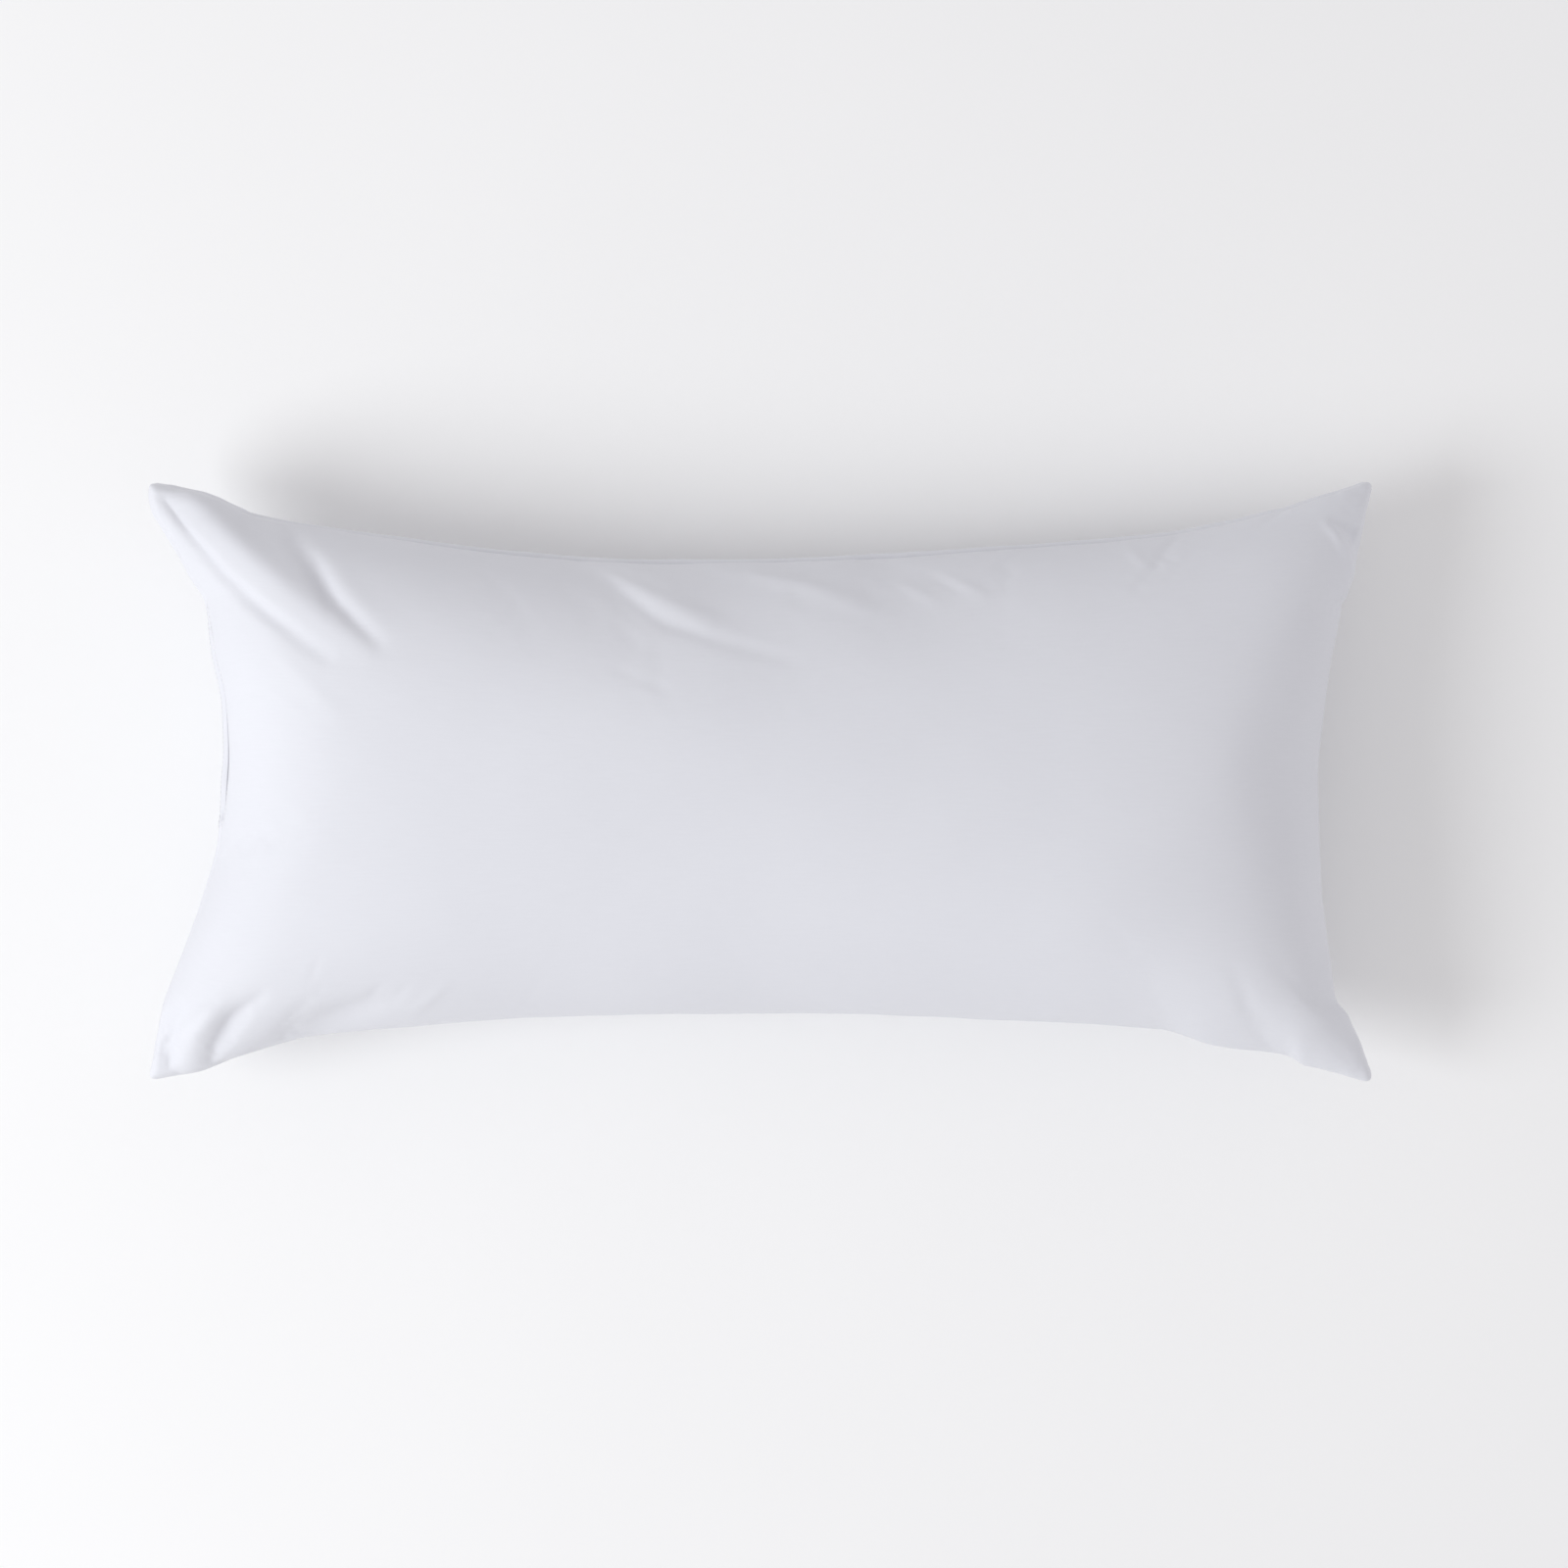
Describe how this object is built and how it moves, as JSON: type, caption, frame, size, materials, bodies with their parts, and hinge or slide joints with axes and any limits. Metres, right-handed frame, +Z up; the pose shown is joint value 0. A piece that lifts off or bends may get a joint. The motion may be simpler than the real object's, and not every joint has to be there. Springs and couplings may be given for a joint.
{
  "type": "bed pillow",
  "caption": "Rectangular stuffed bed pillow with a plain white cotton cover, pointed corners, drawn-in sides and a short zip in one end, lying flat.",
  "frame": {"origin": "on the resting surface, under the middle of the four corner tips", "axes": "+X along the pillow's length, away from the zipped end; +Y across its width; +Z up through its thickness, out of the face"},
  "size_m": [0.789, 0.388, 0.186],
  "materials": {
    "cover_cotton": "smooth fine sateen, cool white",
    "ticking_cotton": "plain tight weave, white",
    "sewing_thread": "twisted polyester thread",
    "zip_tape": "woven tape",
    "zip_coil": "drawn nylon",
    "zip_metal": "white enamel",
    "label_satin": "blank satin ribbon",
    "batting": "lofty fibre wadding",
    "fill_fibre": "loose hollow fibre"
  },
  "bodies": {
    "pillow": {"cover_top_panel": "cover_cotton", "cover_bottom_panel": "cover_cotton", "cover_seam_back": "cover_cotton", "cover_seam_front": "cover_cotton", "cover_seam_right": "cover_cotton", "cover_seam_left_front": "cover_cotton", "cover_seam_left_back": "cover_cotton", "overlock_stitching": "sewing_thread", "closure_hem_upper": "cover_cotton", "closure_hem_lower": "cover_cotton", "closure_bartacks": "sewing_thread", "zip_tape_upper": "zip_tape", "zip_tape_lower": "zip_tape", "zip_tape_stitching": "sewing_thread", "zip_coil_upper": "zip_coil", "zip_coil_lower": "zip_coil", "zip_top_stop": "zip_coil", "zip_bottom_stop": "zip_coil", "care_label": "label_satin", "ticking_top_panel": "ticking_cotton", "ticking_bottom_panel": "ticking_cotton", "ticking_seam": "ticking_cotton", "batting_wrap_top": "batting", "batting_wrap_bottom": "batting", "fill_core": "fill_fibre"},
    "slider": {"zip_slider": "zip_metal"},
    "pull_tab": {"zip_pull_tab": "zip_metal"}
  },
  "joints": [
    {"name": "zip_slider_travel", "type": "hinge", "parent": "pillow", "child": "slider", "pos_m": [-0.73854, 0, 0.08], "axis": [0, 0, -1], "range_deg": [0, 16.68]},
    {"name": "zip_pull_swing", "type": "hinge", "parent": "slider", "child": "pull_tab", "pos_m": [-0.3534, 0.09891, 0.08], "axis": [0, 0, -1], "range_deg": [0, 180]}
  ]
}
